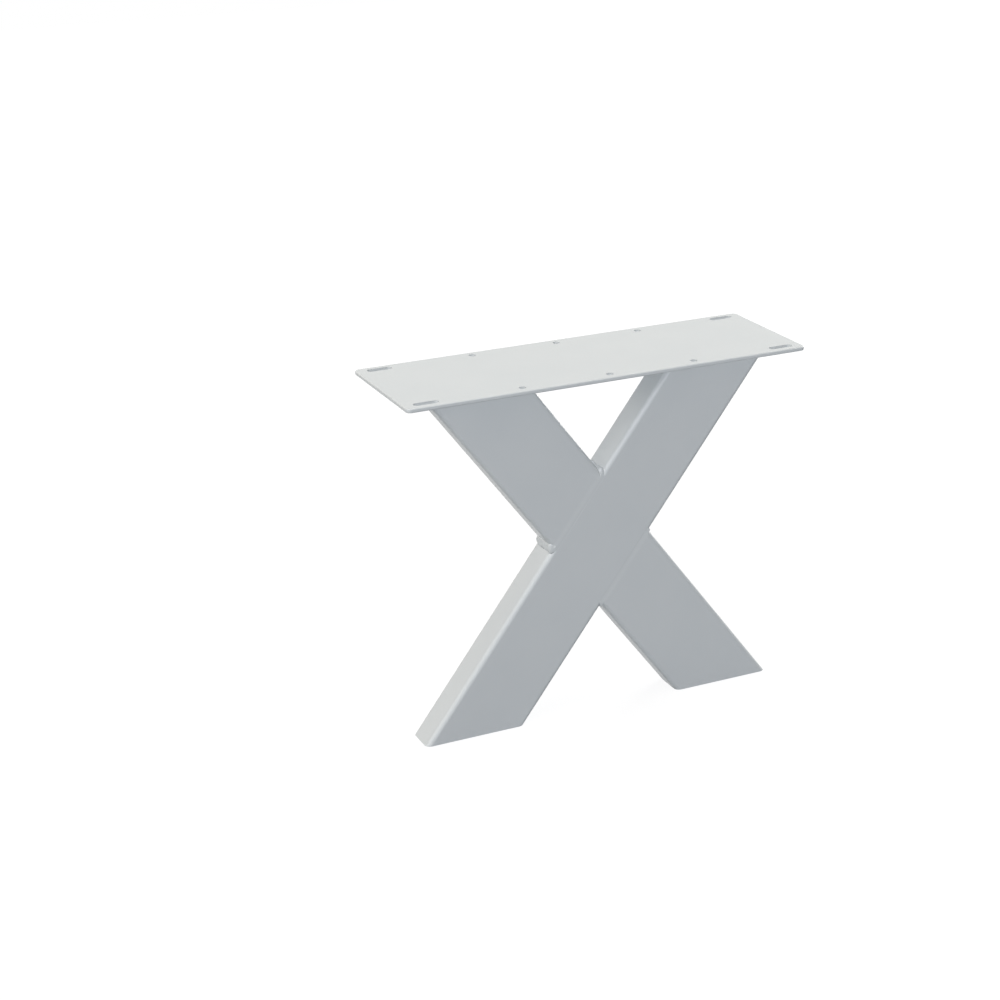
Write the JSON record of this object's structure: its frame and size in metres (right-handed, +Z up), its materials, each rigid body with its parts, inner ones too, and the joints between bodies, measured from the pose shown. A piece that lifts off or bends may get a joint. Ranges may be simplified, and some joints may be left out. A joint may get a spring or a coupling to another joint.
{
  "type": "x shaped table leg",
  "caption": "Welded X-shaped steel leg of rectangular tube under a flat mounting plate with slots and screw holes, for a low table or bench, powder coated light grey.",
  "frame": {"origin": "on the floor, straight below the middle of the mounting plate", "axes": "+Z up, +X along the plate's long side, -Y towards the plate edge that the crossed tubes stand nearer to"},
  "size_m": [0.5, 0.16, 0.425],
  "materials": {
    "powder_coated_steel": "light grey powder coat, satin, with a very fine texture"
  },
  "bodies": {
    "root": {"top_plate": "powder_coated_steel", "through_tube": "powder_coated_steel", "upper_half_tube": "powder_coated_steel", "lower_half_tube": "powder_coated_steel", "left_foot_cap": "powder_coated_steel", "right_foot_cap": "powder_coated_steel", "left_head_weld": "powder_coated_steel", "right_head_weld": "powder_coated_steel", "upper_seam_welds": "powder_coated_steel", "lower_seam_welds": "powder_coated_steel", "left_notch_weld": "powder_coated_steel", "top_notch_weld": "powder_coated_steel", "right_notch_weld": "powder_coated_steel", "bottom_notch_weld": "powder_coated_steel"}
  },
  "joints": []
}
